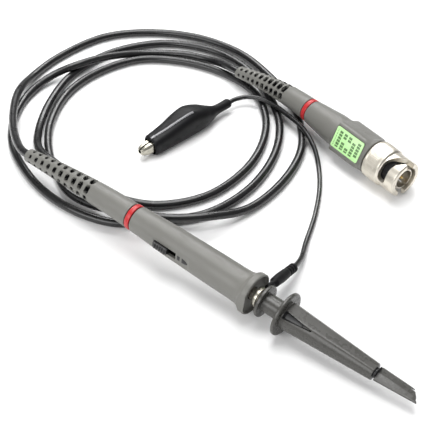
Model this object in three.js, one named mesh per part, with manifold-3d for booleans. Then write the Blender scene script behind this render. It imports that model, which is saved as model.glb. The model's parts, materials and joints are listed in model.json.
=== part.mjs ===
// A switchable oscilloscope probe: probe head with sprung hook tip, ground lead with an
// insulated alligator clip, coaxial cable, and a compensation box with a BNC plug.
// Millimetres, +Z up. The probe head lies along +X, its hook tip at +X, and the origin is
// on the surface it lies on, under the middle of the head.
import * as THREE from "three";
import { mergeVertices } from "three/addons/utils/BufferGeometryUtils.js";
import Module from "manifold-3d";

const wasm = await Module();
wasm.setup();

// ---- driving dimensions -------------------------------------------------------------

const GAP = 0.3; // between neighbouring pieces
const deg = THREE.MathUtils.degToRad;

// Probe head, in stations along its own axis, measured from the middle of the head.
const PROBE = {
  tilt: 3.9, // degrees: the nose rests on a flange, the handle on crossing cables
  shift: 0.44, // puts the middle of the head's length over the origin
  flangeR: 7.4, // finger flange of the hook sleeve, the lowest point of the head
  flangeFront: 34, // its widest station
  tail: -81.4, // end of the strain relief
  bend: { start: -30, side: 1.7, drop: 5.4 }, // the strain relief sags towards its tail
};

const HANDLE = {
  rear: -27.4,
  front: 22.2,
  rearR: 4.6,
  midR: 5.6,
  flangeR: 7.2,
  boreR: 3.9,
  spigotR: 3.2,
  spigotEnd: -31.6,
};

const RING = { r: 4.6, width: 1.8 }; // coloured marker rings, both ends
const CABLE_R = 1.55;
const BORE_R = CABLE_R + GAP;
const LEAD_R = 0.9;

const NOSE = { r: 1.9, bore: 1.45, rear: 12, front: 40.5 };
const TRAVEL = 4; // of the hook sleeve

const SWITCH = { s: -13, travel: 3, slot: [9.4, 2.6], knob: [5.8, 2.0], face: 4.75, roll: 84 };

// BNC end. Stations run back from the front face of the coupling nut, along the plug's axis.
const BNC = {
  front: [30.1, 77.6, 7.24],
  yaw: -13,
  tilt: 1.2, // its strain relief lies across the cable
  nutR: 7.25,
  sleeveR: 6.7,
  nutLength: 15.2,
  ring: -50.9,
  tail: -88.3,
  bend: { start: -51.3, side: -3.9, drop: 2.4 },
};

const BOX = { rear: -32, front: -16.5, width: 12.4, height: 12.0, corner: 1.6, roll: 25 };

// Alligator clip: its group starts at the tail of the insulating boot, jaws along +X.
const CLIP = {
  tail: [-49.8, 77.9, 3.75],
  yaw: -98.6,
  length: 40,
  tips: 45,
  pivot: 24,
  open: 18,
};

// Centreline of the cable between the two strain reliefs: about three and a half loose turns
// lying on the surface, with long low humps where a turn passes over another one.
const CABLE_ROUTE = [
  [-87.2, 3.2, 8.6], [-97, 8.9, 6.9], [-108, 18, 5.5], [-118.6, 30.4, 4.5], [-124.8, 44, 2.1],
  [-126.6, 62, 1.75], [-122, 84, 1.75], [-108.6, 99, 1.75], [-90.5, 108.3, 1.75],
  [-69.8, 110.3, 1.75], [-50, 104.8, 1.75], [-33, 96.3, 1.75], [-20.1, 85.2, 1.75],
  [-11.5, 72.6, 1.75], [-6.7, 54.1, 1.75], [-7.5, 35.4, 2.1], [-13.3, 22.3, 4.7],
  [-24.7, 11.2, 5.2], [-38, 5.2, 5], [-50.5, 2.5, 2.4], [-63, 2.4, 1.75], [-74, 7.2, 1.75],
  [-86, 15, 1.75], [-97.2, 27, 1.75], [-105.7, 44.8, 1.75], [-106.2, 62.5, 1.75],
  [-99.5, 79.8, 1.75], [-84.5, 90.3, 1.75], [-66.7, 94.5, 1.75], [-48.4, 92.1, 1.75],
  [-35, 82.2, 1.75], [-26, 68.5, 1.75], [-21.3, 51.4, 1.75], [-23.4, 31.4, 1.75],
  [-34.6, 16.5, 1.75], [-50, 10.4, 1.75], [-63, 8.2, 2.6], [-75, 8.2, 5.1], [-86, 10.7, 4.2],
  [-96.6, 19.9, 1.9], [-107.4, 37.2, 1.75], [-113.4, 56, 1.75], [-111.4, 77.5, 1.75],
  [-99.5, 95.4, 1.75], [-80.6, 104.2, 1.75], [-61, 103.2, 1.75], [-42.5, 94.2, 1.75],
  [-28.4, 82.4, 1.75], [-18.1, 65.2, 1.75], [-13.8, 43.8, 1.75], [-17.5, 24.6, 1.75],
  [-28.5, 10.8, 1.75], [-39, 1.2, 1.75], [-52, -3, 1.75], [-68, -3.1, 1.75], [-84, 1, 1.75],
  [-99, 8.6, 1.75], [-110.6, 20.6, 1.75], [-117.1, 33.8, 1.75], [-118, 47.4, 2.8],
  [-112.7, 58.6, 5.1], [-107.4, 73.2, 3.8], [-99.1, 86.1, 1.8], [-86.5, 95, 1.75],
  [-78.5, 97.5, 1.9], [-71.8, 97.6, 3.1], [-66, 96, 4.9], [-61.2, 94.4, 6.2],
];

// Centreline of the ground lead, from its boot at the collar to the tail of the clip.
const LEAD_ROUTE = [
  [21.2, 27, 2.5], [17.7, 34.6, 1.3], [12.2, 48, 0.95], [5.2, 61.1, 0.95], [-2.1, 71, 1.2],
  [-8.8, 77.5, 2.7], [-17, 82, 4.45], [-26.1, 85.1, 4.5], [-34.7, 87, 4.5], [-41.8, 86.9, 4.5],
  [-46.6, 84.7, 4.1], [-49.1, 81.2, 3.8],
];

// ---- materials ----------------------------------------------------------------------

const finish = (color, roughness, metalness = 0) =>
  new THREE.MeshStandardMaterial({ color, roughness, metalness });

const GREY = finish(0x86867e, 0.55);
const CAP_GREY = finish(0x77776f, 0.5);
const RED = finish(0xd8402f, 0.45);
const BLACK = finish(0x16161a, 0.35);
const NICKEL = finish(0xc9c5b8, 0.25, 1);
const GOLD = finish(0xc9a24a, 0.3, 1);
const STEEL = finish(0xb8b8bc, 0.3, 1);
const PTFE = finish(0xece9e2, 0.6);
const BOARD = finish(0x2d6b3f, 0.6);
const CERAMIC = finish(0xb98f5a, 0.7);
const LABEL = finish(0xa8dd9a, 0.5);

// ---- shape helpers ------------------------------------------------------------------

// A closed geometry as a solid that can be joined and cut.
function toSolid(geometry) {
  const bare = geometry.index ? geometry.toNonIndexed() : geometry.clone();
  bare.deleteAttribute("normal");
  bare.deleteAttribute("uv");
  const merged = mergeVertices(bare, 1e-4);
  return new wasm.Manifold(
    new wasm.Mesh({
      numProp: 3,
      vertProperties: merged.attributes.position.array,
      triVerts: new Uint32Array(merged.index.array),
    }),
  );
}

function toGeometry(solid) {
  const { numProp, vertProperties, triVerts } = solid.getMesh();
  const positions = new Float32Array((vertProperties.length / numProp) * 3);
  for (let i = 0; i < positions.length / 3; i++)
    positions.set(vertProperties.subarray(i * numProp, i * numProp + 3), i * 3);
  const geometry = new THREE.BufferGeometry();
  geometry.setAttribute("position", new THREE.BufferAttribute(positions, 3));
  geometry.setIndex(new THREE.BufferAttribute(new Uint32Array(triVerts), 1));
  return geometry;
}

const join = (first, ...rest) =>
  toGeometry(rest.reduce((made, g) => made.add(toSolid(g)), toSolid(first)));

const cut = (first, ...rest) =>
  toGeometry(rest.reduce((made, g) => made.subtract(toSolid(g)), toSolid(first)));

// A solid of revolution about the X axis from [station, radius] pairs. The outline starts and
// ends on the axis, or else closes on itself.
function turned(outline, sides = 32) {
  const onAxis = outline[0][1] === 0 && outline[outline.length - 1][1] === 0;
  const ring = onAxis ? outline : [...outline, outline[0]];
  const area = ring.reduce((sum, [s, r], i) => {
    const [nextS, nextR] = ring[(i + 1) % ring.length];
    return sum + r * nextS - nextR * s;
  }, 0);
  const ordered = area > 0 ? ring : [...ring].reverse();
  const points = ordered.map(([s, r]) => new THREE.Vector2(r, s));
  return new THREE.LatheGeometry(points, sides).rotateZ(-Math.PI / 2);
}

const tube = (start, end, outer, inner, sides = 24) =>
  turned([[start, inner], [start, outer], [end, outer], [end, inner]], sides);

const rod = (start, end, r, sides = 20) =>
  turned([[start, 0], [start, r], [end, r], [end, 0]], sides);

const box = (x, y, z, at = [0, 0, 0]) =>
  new THREE.BoxGeometry(x, y, z).translate(...at);

// A round cord along points, closed at both ends.
function cord(points, r, steps, sides = 8) {
  const section = new THREE.Shape();
  for (let i = 0; i < sides; i++) {
    const angle = (2 * Math.PI * i) / sides;
    section[i ? "lineTo" : "moveTo"](r * Math.cos(angle), r * Math.sin(angle));
  }
  section.closePath();
  const path = new THREE.CatmullRomCurve3(points);
  return new THREE.ExtrudeGeometry(section, { steps, bevelEnabled: false, extrudePath: path });
}

// Bends a piece along X: beyond bend.start its axis moves aside and down as a parabola.
function bentOffset(s, bend, tail) {
  const t = Math.max(0, (bend.start - s) / (bend.start - tail));
  return [bend.side * t * t, -bend.drop * t * t];
}

function bent(geometry, bend, tail) {
  const position = geometry.attributes.position;
  for (let i = 0; i < position.count; i++) {
    const [side, rise] = bentOffset(position.getX(i), bend, tail);
    position.setY(i, position.getY(i) + side);
    position.setZ(i, position.getZ(i) + rise);
  }
  return geometry;
}

const evenly = (from, to, count) =>
  Array.from({ length: count }, (_, i) => from + ((to - from) * i) / (count - 1));

// ---- groups and their frames ---------------------------------------------------------

const probe = new THREE.Group();
const tilt = deg(PROBE.tilt);
probe.rotation.y = tilt;
probe.position.x = PROBE.shift;
probe.position.z = PROBE.flangeFront * Math.sin(tilt) + PROBE.flangeR * Math.cos(tilt);

const bnc = new THREE.Group();
bnc.position.set(...BNC.front);
bnc.rotation.set(0, deg(BNC.tilt), deg(BNC.yaw), "ZYX");

const clip = new THREE.Group();
clip.position.set(...CLIP.tail);
clip.rotation.z = deg(CLIP.yaw);

const root = new THREE.Group();
root.add(probe, bnc, clip);
root.updateMatrixWorld(true);

function add(group, name, geometry, material) {
  const mesh = new THREE.Mesh(geometry, material);
  mesh.name = name;
  group.add(mesh);
  return mesh;
}

// ---- strain reliefs and marker rings --------------------------------------------------

// Tapered sleeve with a socket over the housing's spigot and a bore for the cable.
function strainRelief(front, tail, bend, midR) {
  const shoulder = front - 16;
  const stations = evenly(front - 3, tail, 7);
  const outer = stations.map((s) => [
    s,
    s > shoulder
      ? THREE.MathUtils.mapLinear(s, front, shoulder, RING.r - 0.1, midR)
      : THREE.MathUtils.mapLinear(s, shoulder, tail, midR, 2.5),
  ]);
  const bore = [...stations].reverse().map((s) => [s, BORE_R]);
  const outline = [
    [front, HANDLE.spigotR + GAP], [front, RING.r - 0.1], ...outer, ...bore,
    [front - 2.5, BORE_R], [front - 2.5, HANDLE.spigotR + GAP],
  ];
  return bent(turned(outline, 20), bend, tail);
}

function markerRing(start) {
  return tube(start, start + RING.width, RING.r, HANDLE.spigotR + GAP, 32);
}

// ---- probe head ------------------------------------------------------------------------

// Overmoulded handle with a finger flange; the rear spigot carries ring and strain relief.
function handle() {
  const { rear, front, rearR, midR, flangeR, boreR, spigotR, spigotEnd } = HANDLE;
  const shell = turned([
    [spigotEnd, BORE_R], [spigotEnd, spigotR], [rear, spigotR], [rear, rearR],
    [-12, 5.3], [8, midR], [14, midR + 0.15], [17.6, 6.1], [19.6, 6.8], [20.2, flangeR],
    [front - 0.3, flangeR], [front, flangeR - 0.3], [front, 6.6], [front - 1.2, 6.3],
    [front - 1.2, NOSE.r + GAP], [front - 2.6, NOSE.r + GAP], [front - 2.6, boreR],
    [rear + 3, boreR], [rear + 3, BORE_R],
  ]);
  const { s, face, slot, roll, travel } = SWITCH;
  const panel = box(27, 12, 6, [s - 1, 0, face + 3]).rotateX(deg(roll));
  const opening = box(slot[0], slot[1], 4, [s + travel / 2, 0, face - 1]).rotateX(deg(roll));
  return cut(shell, panel, opening);
}

// Slide knob: a ribbed cap outside the slot, a stem through it and a wiper plate inside.
function switchKnob() {
  const { s, face, knob, roll } = SWITCH;
  const pieces = [
    box(knob[0], knob[1], 2.8, [s, 0, face - 0.5]),
    box(knob[0] + 1.6, 3.4, 0.6, [s, 0, face - 2]),
  ];
  for (const x of [-1.8, -0.6, 0.6, 1.8]) pieces.push(box(0.5, knob[1], 0.5, [s + x, 0, face + 1.1]));
  return join(...pieces).rotateX(deg(roll));
}

function hookBase() {
  return turned([
    [25.2, 2.2], [25.2, 5.1], [25.6, 5.5], [26.4, 5.5], [26.4, 3.2], [37, 3.2], [37, 2.6],
    [44, 2.6], [44, 1.3], [42.8, 1.3], [42.8, 2.2],
  ]);
}

// Sliding sleeve: finger flange, flattened cone, groove and a thin blade that holds the hook.
function hookSleeve() {
  const shell = turned([
    [33, 3.5], [33, 7], [33.4, 7.4], [34, 7.4], [34.4, 7], [34.4, 4.6], [66.5, 2.8],
    [66.5, 2.3], [68.2, 2.3], [68.4, 2.6], [81.2, 1.9], [81.2, 0.75], [58, 0.75], [58, 2.4],
    [48.3, 2.4], [48.3, 2.9], [41.3, 2.9], [41.3, 3.5],
  ]);
  const cuts = [box(4.2, 4.2, 1.1, [79.6, 0, 0])];
  for (const side of [1, -1]) {
    const flat = box(40, 12, 6, [19.9, 0, 3]).rotateY(deg(2.9)).translate(34.7, 0, 4.02);
    const blade = box(16, 8, 4, [8, 0, 2]).rotateY(deg(1.6)).translate(68.35, 0, 1.25);
    if (side < 0) {
      flat.rotateX(Math.PI);
      blade.rotateX(Math.PI);
    }
    cuts.push(flat, blade);
  }
  return cut(shell, ...cuts, keyWindow());
}

// Tapering window in the sleeve's wall, in front of the flange.
function keyWindow() {
  const wedge = new THREE.Shape([
    new THREE.Vector2(34.9, -1.25),
    new THREE.Vector2(44.5, -0.05),
    new THREE.Vector2(44.5, 0.05),
    new THREE.Vector2(34.9, 1.25),
  ]);
  const prism = new THREE.ExtrudeGeometry(wedge, { depth: 2.4, bevelEnabled: false });
  return prism.translate(0, 0, 3.1).rotateX(deg(40));
}

function hookWire() {
  const bends = [
    [51.3, 0], [60, 0], [70, 0], [77.6, 0], [78.9, 0.1], [79.7, 0.5], [79.5, 0.95], [78.6, 1.05],
  ];
  return cord(bends.map(([s, y]) => new THREE.Vector3(s, y, 0)), 0.3, 26, 8);
}

// Socket that takes the probe's tip pin; its collar is the spring's seat.
function hookSocket() {
  return turned([
    [42.2, 0.65], [42.2, 1], [44.3, 1], [44.3, 1.8], [45.3, 1.8], [45.3, 1], [51, 1],
    [51, 0], [47, 0], [47, 0.65],
  ].reverse(), 16);
}

function spring(start, end, turns, coilR, wireR) {
  const steps = turns * 9;
  const points = evenly(0, 1, steps + 1).map((t) => {
    const angle = 2 * Math.PI * turns * t;
    const s = THREE.MathUtils.lerp(start + wireR, end - wireR, t);
    return new THREE.Vector3(s, coilR * Math.cos(angle), coilR * Math.sin(angle));
  });
  return cord(points, wireR, steps, 5);
}

function buildProbeHead() {
  const { bend, tail } = PROBE;
  const ringStart = HANDLE.rear - GAP - RING.width;
  add(probe, "handle", handle(), GREY);
  add(probe, "probe_marker_ring", markerRing(ringStart), RED);
  add(probe, "probe_strain_relief", strainRelief(ringStart - GAP, tail, bend, 4.15), GREY);
  add(probe, "probe_cable_ferrule", tube(-24, -20, 2.8, BORE_R, 16), NICKEL);
  add(probe, "probe_board", box(26, 6.0, 0.8, [-7, 0, 0]).rotateX(deg(SWITCH.roll)), BOARD);
  add(probe, "switch_knob", switchKnob(), BLACK);
  const contact = box(7, 3.2, 0.5, [SWITCH.s + 1.5, 0, 1.0]);
  add(probe, "switch_contact", contact.rotateX(deg(SWITCH.roll)), GOLD);
  const resistor = rod(-4, 3.5, 0.9, 16).translate(0, 0, 1.65);
  add(probe, "input_resistor", resistor.rotateX(deg(SWITCH.roll)), CERAMIC);
  const capacitor = box(3.4, 2.6, 1.4, [-2, 0, -1.45]);
  add(probe, "input_capacitor", capacitor.rotateX(deg(SWITCH.roll)), CERAMIC);
  add(probe, "nose_bush", tube(12, 19.2, 3.55, NOSE.r + GAP), BLACK);
  add(probe, "nose_barrel", tube(NOSE.rear, NOSE.front, NOSE.r, NOSE.bore), NICKEL);
  add(probe, "nose_insulator", tube(10.4, 41.4, NOSE.bore - GAP, 0.65, 16), PTFE);
  add(probe, "tip_pin", turned([[7, 0], [7, 0.35], [45, 0.35], [46, 0.1], [46, 0]], 12), GOLD);
  add(probe, "hook_base", hookBase(), CAP_GREY);
  add(probe, "hook_socket", hookSocket(), GOLD);
  add(probe, "hook_wire", hookWire(), STEEL);
  add(probe, "hook_spring", spring(45.6, 57.7, 5, 1.75, 0.25), STEEL);
  add(probe, "hook_sleeve", hookSleeve(), CAP_GREY);
}

// ---- ground lead and its collar ----------------------------------------------------------

// Spring collar that clips round the nose barrel, with a lug for the lead.
function groundCollar() {
  return join(tube(22.6, 24.1, 3.7, NOSE.r + GAP, 24), box(1.4, 3.4, 1.2, [23.35, 5, 0]));
}

// Moulded boot over the joint of lug and lead, with three flex grooves.
function groundBoot() {
  const grooves = [9.2, 10.6, 12].flatMap((s) => [
    [s, 1.6], [s, 1.35], [s + 0.6, 1.35], [s + 0.6, 1.6],
  ]);
  return turned([
    [0, 0], [0, 0.95], [0.5, 1], [1.4, 1.7], [5, 1.85], [8.4, 1.75], ...grooves, [13.6, 1.6], [13.6, LEAD_R + GAP],
    [5, LEAD_R + GAP], [5, 0],
  ], 12);
}

const GROUND_BOOT_START = probe.localToWorld(new THREE.Vector3(23.35, 7, 0));
const GROUND_BOOT_END = new THREE.Vector3(22.9, 20.2, 4.6);

function buildGroundLead() {
  add(probe, "ground_collar", groundCollar(), NICKEL);
  const boot = add(root, "ground_lead_boot", groundBoot(), BLACK);
  const along = GROUND_BOOT_END.clone().sub(GROUND_BOOT_START).normalize();
  boot.position.copy(GROUND_BOOT_START);
  boot.quaternion.setFromUnitVectors(new THREE.Vector3(1, 0, 0), along);
  const inBoot = [6, 10, 13.6].map((d) => GROUND_BOOT_START.clone().addScaledVector(along, d));
  const inClip = [-1, 3, 7.4].map((x) => clip.localToWorld(new THREE.Vector3(x, 0, 0)));
  const route = LEAD_ROUTE.map((p) => new THREE.Vector3(...p));
  add(root, "ground_lead", cord([...inBoot, ...route, ...inClip], LEAD_R, 32), BLACK);
}

// ---- alligator clip --------------------------------------------------------------------

// Section of the boot at x: a rounded rectangle about (midY, midZ), of half width halfY.
function bootSection([x, midY, midZ, halfY, halfZ, power]) {
  return evenly(0, 2 * Math.PI, 21).slice(0, -1).map((angle) => {
    const c = Math.cos(angle);
    const s = Math.sin(angle);
    return new THREE.Vector3(
      x,
      midY + halfY * Math.sign(c) * Math.abs(c) ** (2 / power),
      midZ + halfZ * Math.sign(s) * Math.abs(s) ** (2 / power),
    );
  });
}

// A closed skin over a loop of sections: each section joins the next, the last the first.
function skin(sections) {
  const count = sections[0].length;
  const positions = sections.flat().flatMap((p) => p.toArray());
  const index = [];
  sections.forEach((_, i) => {
    const next = (i + 1) % sections.length;
    for (let j = 0; j < count; j++) {
      const k = (j + 1) % count;
      const [a, b, c, d] = [i * count + j, i * count + k, next * count + k, next * count + j];
      index.push(a, b, c, a, c, d);
    }
  });
  const geometry = new THREE.BufferGeometry();
  geometry.setAttribute("position", new THREE.Float32BufferAttribute(positions, 3));
  geometry.setIndex(index);
  return geometry;
}

// Soft insulating boot: a tail tube round the lead, a bulge over the levers, an open mouth
// and, on one side, the slot the moving jaw swings out through.
function clipBoot() {
  const outside = [
    [0, 0, 0, 1.9, 1.9, 2], [7, 0, 0, 2, 2, 2], [10.5, -0.1, 0.3, 3.3, 3.1, 2.1],
    [15, -0.4, 1, 4.6, 4.6, 2.6], [20, -0.8, 1.5, 5, 5.2, 3.2],
    [25, -0.7, 1.2, 4.9, 4.9, 3.2], [32, -0.3, 0.5, 4.3, 4.1, 3], [40, 0, 0, 3.7, 3.4, 3.2],
  ];
  const wall = 0.55;
  const inside = outside
    .filter(([x]) => x !== 10.5)
    .map(([x, midY, midZ, halfY, halfZ, power]) =>
      x < 10 ? [x, 0, 0, 1.2, 1.2, 2] : [x, midY, midZ, halfY - wall, halfZ - wall, power],
    )
    .reverse();
  const shell = skin([...outside, ...inside].map(bootSection));
  return cut(shell, box(20, 4, 3.9, [36, -3.5, 0]));
}

// Half of the clip: a channel of sheet metal with a back, two cheeks and teeth at the front.
// Built on the +Y side, its outer faces 2 * cheek apart; side -1 turns it to the other side.
function jaw(side, cheek) {
  const sheet = 0.45;
  const { pivot, tips } = CLIP;
  const back = new THREE.Shape([
    new THREE.Vector2(18.5, 2.55), new THREE.Vector2(pivot - 4, 2.45),
    new THREE.Vector2(pivot, 2.75), new THREE.Vector2(39, 2.35), new THREE.Vector2(tips - 1, 1.75),
    new THREE.Vector2(tips, 1.2), new THREE.Vector2(tips, 0.7), new THREE.Vector2(tips - 1.2, 1.3),
    new THREE.Vector2(39, 1.9), new THREE.Vector2(pivot, 2.3),
    new THREE.Vector2(pivot - 4, 2), new THREE.Vector2(18.5, 2.1),
  ]);
  const cheekShape = new THREE.Shape([
    new THREE.Vector2(pivot - 4.5, 2.4), new THREE.Vector2(pivot + 1, 2.6),
    new THREE.Vector2(39, 2.2), new THREE.Vector2(tips - 1, 1.6), new THREE.Vector2(tips, 1),
    ...[43.4, 42.2, 41].flatMap((x) => [
      new THREE.Vector2(x + 0.7, 0.2), new THREE.Vector2(x, 0.65),
    ]),
    new THREE.Vector2(40.4, 0.2), new THREE.Vector2(34, 1), new THREE.Vector2(pivot + 3, 0.4),
    new THREE.Vector2(pivot + 1.3, -1), new THREE.Vector2(pivot - 1.3, -1),
    new THREE.Vector2(pivot - 3, 0.6),
  ]);
  const plate = (shape, z0, z1) =>
    new THREE.ExtrudeGeometry(shape, { depth: z1 - z0, bevelEnabled: false }).translate(0, 0, z0);
  const half = join(
    plate(back, -cheek, cheek),
    plate(cheekShape, cheek - sheet, cheek),
    plate(cheekShape, -cheek, sheet - cheek),
  );
  const hole = new THREE.CylinderGeometry(0.9, 0.9, 8, 16).rotateX(Math.PI / 2).translate(pivot, 0, 0);
  const made = cut(half, hole);
  return side > 0 ? made : made.rotateX(Math.PI);
}

// Torsion spring round the pivot pin, its legs pushing the levers apart.
function clipSpring() {
  const coilR = 1.25;
  const coils = evenly(0, 3.5, 36).map((turn) => {
    const angle = 2 * Math.PI * turn;
    return new THREE.Vector3(
      CLIP.pivot + coilR * Math.sin(angle),
      coilR * Math.cos(angle),
      -0.75 + (1.5 * turn) / 3.5,
    );
  });
  const first = coils[0];
  const last = coils[coils.length - 1];
  const points = [
    new THREE.Vector3(first.x - 5, first.y + 0.3, first.z),
    ...coils,
    new THREE.Vector3(last.x - 2, last.y, last.z),
  ];
  return cord(points, 0.22, 44, 5);
}

function buildClip() {
  add(clip, "clip_boot", clipBoot(), BLACK);
  add(clip, "clip_fixed_jaw", jaw(1, 2.3), NICKEL);
  add(clip, "clip_moving_jaw", jaw(-1, 1.6), NICKEL);
  const pin = rod(-2.5, 2.5, 0.6, 14).rotateY(Math.PI / 2).translate(CLIP.pivot, 0, 0);
  add(clip, "clip_pivot_pin", pin, STEEL);
  add(clip, "clip_spring", clipSpring(), STEEL);
  add(clip, "clip_ferrule", tube(7.8, 10.6, 1.4, 0.5, 14), NICKEL);
}

// ---- compensation box and BNC plug -----------------------------------------------------

// Rounded rectangle in the YZ plane, extruded along X.
function roundedBar(start, end, width, height, corner) {
  const w = width / 2;
  const h = height / 2;
  const section = new THREE.Shape();
  section.moveTo(-w + corner, -h);
  section.lineTo(w - corner, -h);
  section.absarc(w - corner, -h + corner, corner, -Math.PI / 2, 0);
  section.lineTo(w, h - corner);
  section.absarc(w - corner, h - corner, corner, 0, Math.PI / 2);
  section.lineTo(-w + corner, h);
  section.absarc(-w + corner, h - corner, corner, Math.PI / 2, Math.PI);
  section.lineTo(-w, -h + corner);
  section.absarc(-w + corner, -h + corner, corner, Math.PI, 1.5 * Math.PI);
  const bar = new THREE.ExtrudeGeometry(section, {
    depth: end - start,
    bevelEnabled: false,
    curveSegments: 4,
  });
  return bar.rotateY(Math.PI / 2).rotateX(Math.PI / 2).translate(start, 0, 0);
}

const roll = deg(BOX.roll);
const LABEL_FACE = BOX.width / 2; // the label is on the box's -Y side before it is rolled
const TRIMMER = { s: -24, r: 1.5, inner: 3.6 };

function compensationBox() {
  const housing = join(
    turned([
      [-52.9, 0], [-52.9, HANDLE.spigotR], [-48.8, HANDLE.spigotR], [-48.8, 4.7],
      [-36, 6.05], [-30, 6.05], [-30, 0],
    ]),
    roundedBar(BOX.rear, BOX.front, BOX.width, BOX.height, BOX.corner),
    turned([[-20, 0], [-20, 6.0], [-17.6, 7.0], [-15.9, 7.0], [-15.6, 6.7], [-15.6, 0]]),
  );
  const recess = box(14.2, 0.8, 8.8, [-24.6, -LABEL_FACE + 0.05, 0.3]);
  const hole = rod(3, 8, TRIMMER.r + GAP, 16).rotateZ(Math.PI / 2).translate(TRIMMER.s, 0, 0);
  const hollow = turned([
    [-54, 0], [-54, BORE_R], [-46, BORE_R], [-44.5, 4], [-34, 5], [-15, 5], [-15, 0],
  ]);
  return cut(housing, recess, hole, hollow).rotateX(-roll);
}

// Knurled coupling nut with two spiral bayonet slots.
function couplingNut() {
  const { nutR, sleeveR, nutLength } = BNC;
  const body = turned([
    [-nutLength, 5.0], [-nutLength, nutR - 0.5], [-nutLength + 0.5, nutR], [-8.2, nutR],
    [-7.6, sleeveR], [-0.4, sleeveR], [0, sleeveR - 0.4], [0, 4.95], [-11, 4.95],
    [-11, 4.5], [-12, 4.5], [-12, 5.0],
  ], 28);
  const cuts = [];
  for (const start of [0, Math.PI]) {
    for (const step of evenly(0, 1, 8)) {
      const depth = 2.2 + 3.7 * Math.sin((Math.min(1, 1.6 * step) * Math.PI) / 2);
      const reach = step === 0 ? depth + 1 : 2.4;
      const slot = box(reach, 2.4, 4, [-depth + reach / 2 - 1.1, 0, 6]);
      cuts.push(slot.rotateX(start + deg(100 * step - 14)));
    }
  }
  for (const angle of evenly(0, 2 * Math.PI, 17).slice(1)) {
    cuts.push(box(5.4, 0.7, 0.6, [-11.6, 0, nutR]).rotateX(angle));
  }
  return cut(body, ...cuts);
}

// Fixed plug body: a shank in the box and the slotted outer contact inside the nut.
function plugBody() {
  const shank = turned([
    [-19.5, 2.8], [-19.5, 4.6], [-13.2, 4.6], [-13.2, 4.15], [-1.2, 4.15], [-0.9, 3.95],
    [-0.9, 3.55], [-9, 3.55], [-9, 2.8],
  ]);
  const slots = [0, 1, 2, 3].map((i) => box(5, 0.5, 3, [-3.3, 0, 4]).rotateX((i * Math.PI) / 2 + 0.4));
  return cut(shank, ...slots);
}

function buildConnector() {
  const { ring, tail, bend } = BNC;
  add(bnc, "bnc_strain_relief", strainRelief(ring - GAP, tail, bend, 3.9), GREY);
  add(bnc, "bnc_marker_ring", markerRing(ring), RED);
  add(bnc, "compensation_box", compensationBox(), GREY);
  const label = box(13.6, 0.25, 8.2, [-24.6, -LABEL_FACE + 0.15, 0.3]);
  add(bnc, "label_plate", label.rotateX(-roll), LABEL);
  const board = box(19, 8, 0.9, [-30.5, 0, 0]).rotateX(Math.PI / 2);
  add(bnc, "compensation_board", board.rotateX(-roll), BOARD);
  const trimmerBody = box(5, 2.2, 5, [TRIMMER.s, 2.1, 0]);
  add(bnc, "trimmer_capacitor", trimmerBody.rotateX(-roll), PTFE);
  const screw = cut(rod(TRIMMER.inner, 5.7, TRIMMER.r, 16), box(1, 2.4, 0.5, [5.7, 0, 0]));
  const trimmer = screw.rotateZ(Math.PI / 2).translate(TRIMMER.s, 0, 0);
  add(bnc, "trimmer_screw", trimmer.rotateX(-roll), GOLD);
  const resistor = rod(-38, -32, 1.1, 16).translate(0, -2.0, 0);
  add(bnc, "termination_resistor", resistor.rotateX(-roll), CERAMIC);
  add(bnc, "bnc_cable_ferrule", tube(-44.2, -41, 2.8, BORE_R, 16), NICKEL);
  add(bnc, "plug_body", plugBody(), NICKEL);
  add(bnc, "plug_insulator", tube(-16, -4.6, 2.5, 1.0, 20), PTFE);
  add(bnc, "plug_centre_pin", turned([[-20, 0], [-20, 0.68], [-2.4, 0.68], [-1.6, 0.3], [-1.6, 0]], 12), GOLD);
  add(bnc, "plug_gasket", tube(-7.6, -4.9, 4.75, 4.35), BLACK);
  add(bnc, "nut_spring_washer", tube(-13.0, -12.4, 4.8, 4.35), STEEL);
  add(bnc, "coupling_nut", couplingNut(), NICKEL);
}

// ---- the coaxial cable -----------------------------------------------------------------

// Points on the bent centre line of a strain relief, in the object's frame.
function boreLine(group, stations, bend, tail) {
  return stations.map((s) => group.localToWorld(new THREE.Vector3(s, ...bentOffset(s, bend, tail))));
}

function buildCable() {
  const head = boreLine(probe, [-22, -36, -48, -60, -72, PROBE.tail], PROBE.bend, PROBE.tail);
  const plug = boreLine(bnc, [BNC.tail, -79, -68, -56, -43], BNC.bend, BNC.tail);
  const route = CABLE_ROUTE.map((p) => new THREE.Vector3(...p));
  add(root, "main_cable", cord([...head, ...route, ...plug], CABLE_R, 104), BLACK);
}

buildProbeHead();
buildGroundLead();
buildClip();
buildConnector();
buildCable();

export default root;
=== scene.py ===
# The looks of a switchable oscilloscope probe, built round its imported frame.
# Metres in the scene; the pieces' own dimensions are in millimetres in their head's frame,
# as they are in the part's source. Stations run along a head's own X axis.
import json
import math
import bmesh
import bpy
from mathutils import Matrix, Vector


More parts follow.
